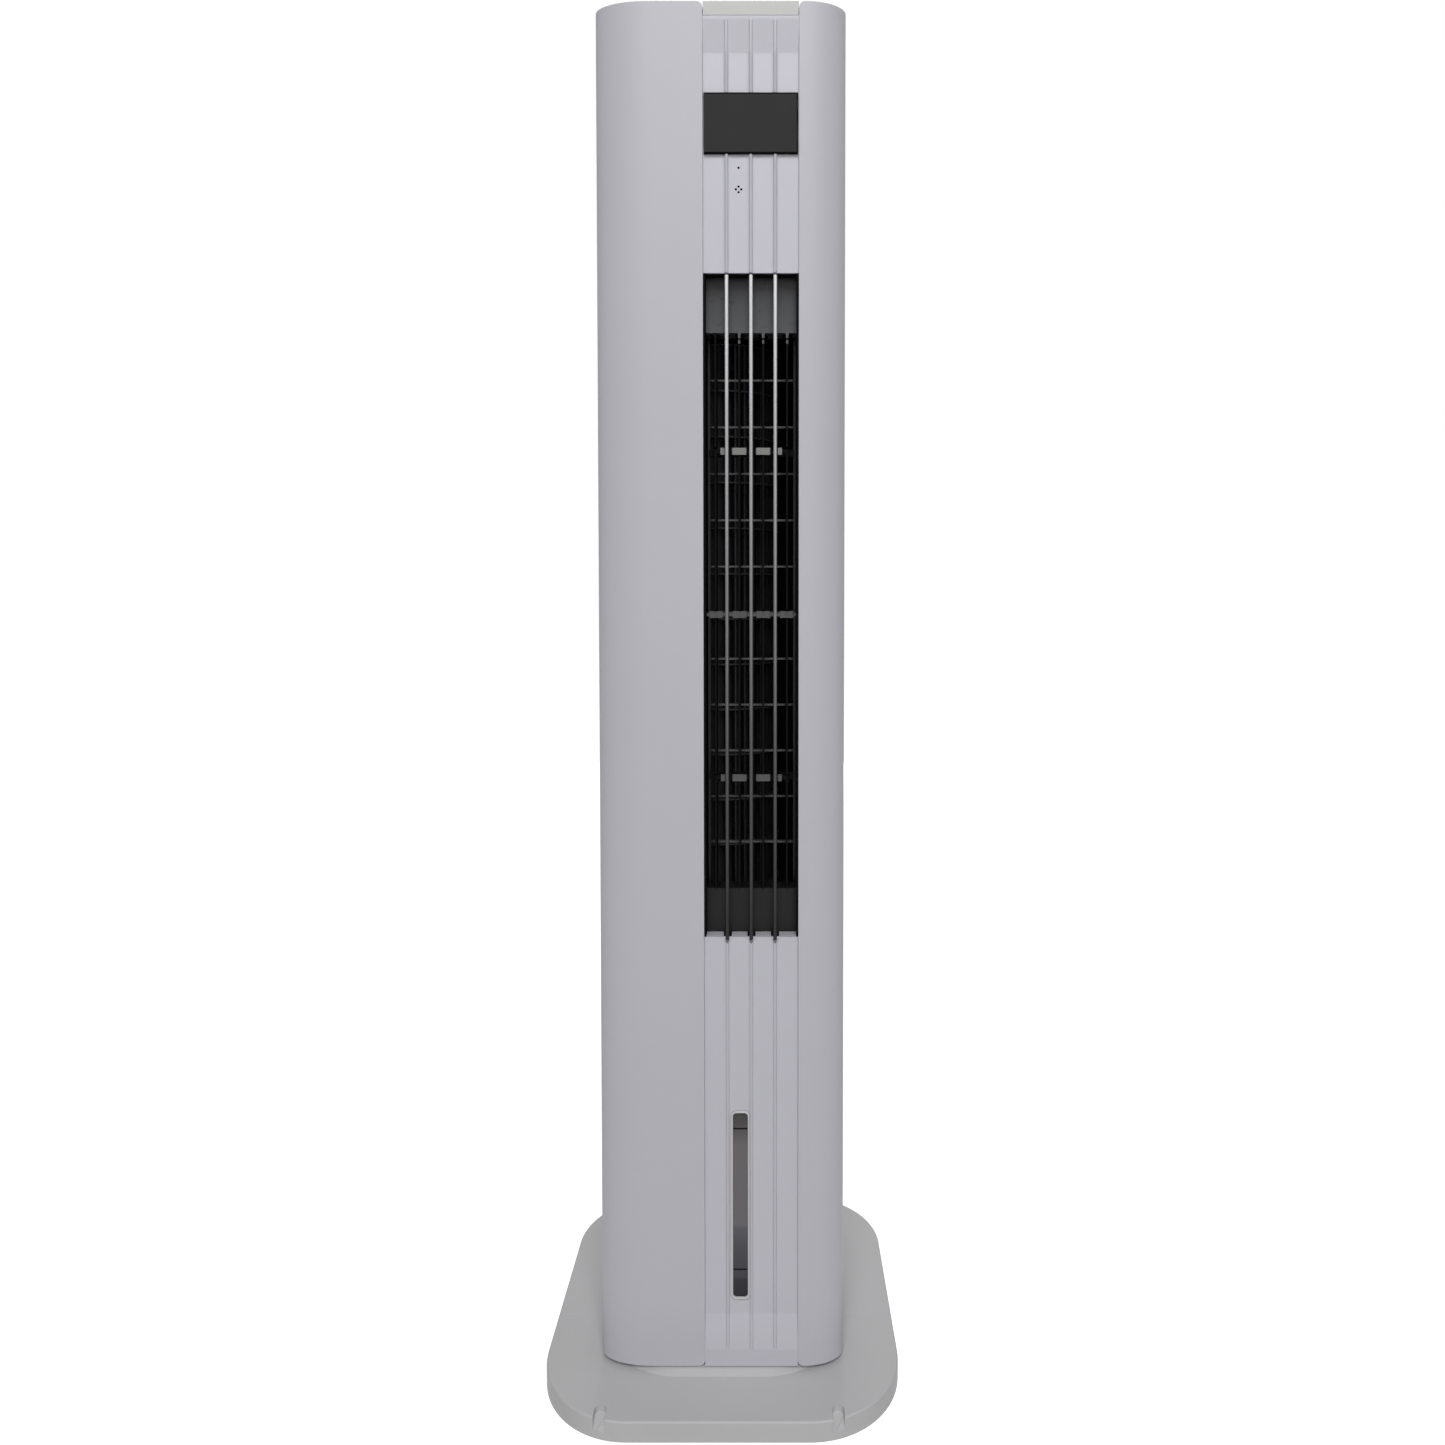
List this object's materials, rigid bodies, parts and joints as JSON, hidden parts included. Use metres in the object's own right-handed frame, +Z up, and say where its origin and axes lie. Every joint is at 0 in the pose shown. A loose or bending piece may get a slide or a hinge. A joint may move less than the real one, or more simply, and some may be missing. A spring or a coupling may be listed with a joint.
{
  "type": "tower fan",
  "caption": "Upright tower fan with water tank: rounded square column on a low base, tall barred outlet with swinging louvers, dark display and a water-level window.",
  "frame": {"origin": "on the floor, under the middle of the base", "axes": "+Z up, +Y to the back, +X to the right as one faces the outlet"},
  "size_m": [0.31, 0.314, 1.18],
  "materials": {
    "panel_silver": "satin, fine metallic silver-grey",
    "strip_silver": "satin, fine metallic silver-grey",
    "base_silver": "satin grey",
    "cap_plastic": "satin light warm grey",
    "display_gloss": "glossy near-black",
    "bar_metallic": "semi-gloss metallic grey",
    "louver_black": "semi-gloss black",
    "duct_black": "matte black",
    "shroud_grey": "semi-gloss dark grey",
    "window_clear": "clear, slightly smoked",
    "plate_steel": "black paint",
    "screw_steel": "zinc plated",
    "rubber_black": "matte",
    "inner_plastic": "as moulded",
    "wheel_black": "as moulded",
    "motor_steel": "zinc plated sheet",
    "bearing_bronze": "sintered bronze",
    "board_green": "lacquered board",
    "pad_paper": "corrugated brown paper",
    "filter_mesh": "fine nylon mesh",
    "tank_smoke": "translucent smoke",
    "knob_plastic": "satin",
    "pump_plastic": "as moulded",
    "float_foam": "foamed, orange"
  },
  "bodies": {
    "casing": {"base_front": "base_silver", "base_rear": "base_silver", "base_plate": "plate_steel", "base_screws": "screw_steel", "rubber_feet": "rubber_black", "bottom_chassis": "base_silver", "left_side_panel": "panel_silver", "right_side_panel": "panel_silver", "center_fascia": "strip_silver", "window_lens": "window_clear", "top_cover": "cap_plastic", "rear_frame": "panel_silver", "case_screws": "screw_steel", "cord_gland": "rubber_black", "outlet_bar_left": "bar_metallic", "outlet_bar_center": "bar_metallic", "outlet_bar_right": "bar_metallic", "outlet_duct": "duct_black", "upper_duct_cover": "shroud_grey", "lower_duct_cover": "duct_black", "louver_comb": "louver_black", "safety_grille": "duct_black", "swing_motor": "motor_steel", "lower_bearing": "bearing_bronze", "scroll_base": "inner_plastic", "scroll_top": "inner_plastic", "scroll_volute": "inner_plastic", "fan_motor_can": "motor_steel", "fan_motor_stator": "motor_steel", "motor_rings": "rubber_black", "motor_bracket": "plate_steel", "display_lens": "display_gloss", "display_board": "board_green", "control_box": "inner_plastic", "control_board": "board_green", "drip_deck": "inner_plastic", "cooling_pad": "pad_paper", "pad_frame": "inner_plastic", "water_tray": "inner_plastic", "water_hose": "tank_smoke", "hose_socket": "inner_plastic"},
    "fan_wheel": {"impeller": "wheel_black", "fan_motor_rotor": "motor_steel"},
    "louver_1": {"louver_1": "louver_black"},
    "louver_2": {"louver_2": "louver_black"},
    "louver_3": {"louver_3": "louver_black"},
    "louver_4": {"louver_4": "louver_black"},
    "link_lower": {"link_bar_lower": "louver_black"},
    "link_upper": {"link_bar_upper": "louver_black"},
    "tank": {"tank_body": "tank_smoke", "tank_lid": "inner_plastic", "tank_face": "panel_silver", "pump_body": "pump_plastic", "pump_strainer": "pump_plastic", "riser_pipe": "tank_smoke"},
    "pump_wheel": {"pump_rotor": "pump_plastic"},
    "latch": {"tank_latch": "knob_plastic"},
    "float": {"level_float": "float_foam"},
    "inlet": {"rear_grille": "panel_silver", "dust_filter": "filter_mesh"}
  },
  "joints": [
    {"name": "wheel_spin", "type": "hinge", "parent": "casing", "child": "fan_wheel", "pos_m": [0, 0, 0.667], "axis": [0, 0, 1], "continuous": true},
    {"name": "louver_1_swing", "type": "hinge", "parent": "casing", "child": "louver_1", "pos_m": [-0.0048, -0.076, 0.673], "axis": [0, 0, 1], "range_deg": [-30, 30]},
    {"name": "louver_2_swing", "type": "hinge", "parent": "casing", "child": "louver_2", "pos_m": [0.0156, -0.076, 0.673], "axis": [0, 0, 1], "range_deg": [-30, 30]},
    {"name": "louver_3_swing", "type": "hinge", "parent": "casing", "child": "louver_3", "pos_m": [0.036, -0.076, 0.673], "axis": [0, 0, 1], "range_deg": [-30, 30]},
    {"name": "louver_4_swing", "type": "hinge", "parent": "casing", "child": "louver_4", "pos_m": [0.0564, -0.076, 0.673], "axis": [0, 0, 1], "range_deg": [-30, 30]},
    {"name": "link_lower_pivot", "type": "hinge", "parent": "louver_1", "child": "link_lower", "pos_m": [-0.0048, -0.085, 0.531], "axis": [0, 0, 1], "range_deg": [-30, 30]},
    {"name": "link_upper_pivot", "type": "hinge", "parent": "louver_1", "child": "link_upper", "pos_m": [-0.0048, -0.085, 0.811], "axis": [0, 0, 1], "range_deg": [-30, 30]},
    {"name": "tank_slide", "type": "slide", "parent": "casing", "child": "tank", "axis": [0, 1, 0], "range_m": [0, 0.2]},
    {"name": "pump_spin", "type": "hinge", "parent": "tank", "child": "pump_wheel", "pos_m": [-0.058, 0.05, 0.05], "axis": [0, 0, 1], "continuous": true},
    {"name": "latch_turn", "type": "hinge", "parent": "tank", "child": "latch", "pos_m": [0.062, 0.1, 0.2867], "axis": [0, 1, 0], "range_deg": [0, 90]},
    {"name": "float_rise", "type": "slide", "parent": "tank", "child": "float", "axis": [0, 0, 1], "range_m": [0, 0.17]},
    {"name": "inlet_pull", "type": "slide", "parent": "casing", "child": "inlet", "axis": [0, 1, 0], "range_m": [0, 0.06]}
  ],
  "couplings": [
    {"joint": "louver_2_swing", "follows": "louver_1_swing", "ratio": 1},
    {"joint": "louver_3_swing", "follows": "louver_1_swing", "ratio": 1},
    {"joint": "louver_4_swing", "follows": "louver_1_swing", "ratio": 1},
    {"joint": "link_lower_pivot", "follows": "louver_1_swing", "ratio": -1},
    {"joint": "link_upper_pivot", "follows": "louver_1_swing", "ratio": -1}
  ]
}
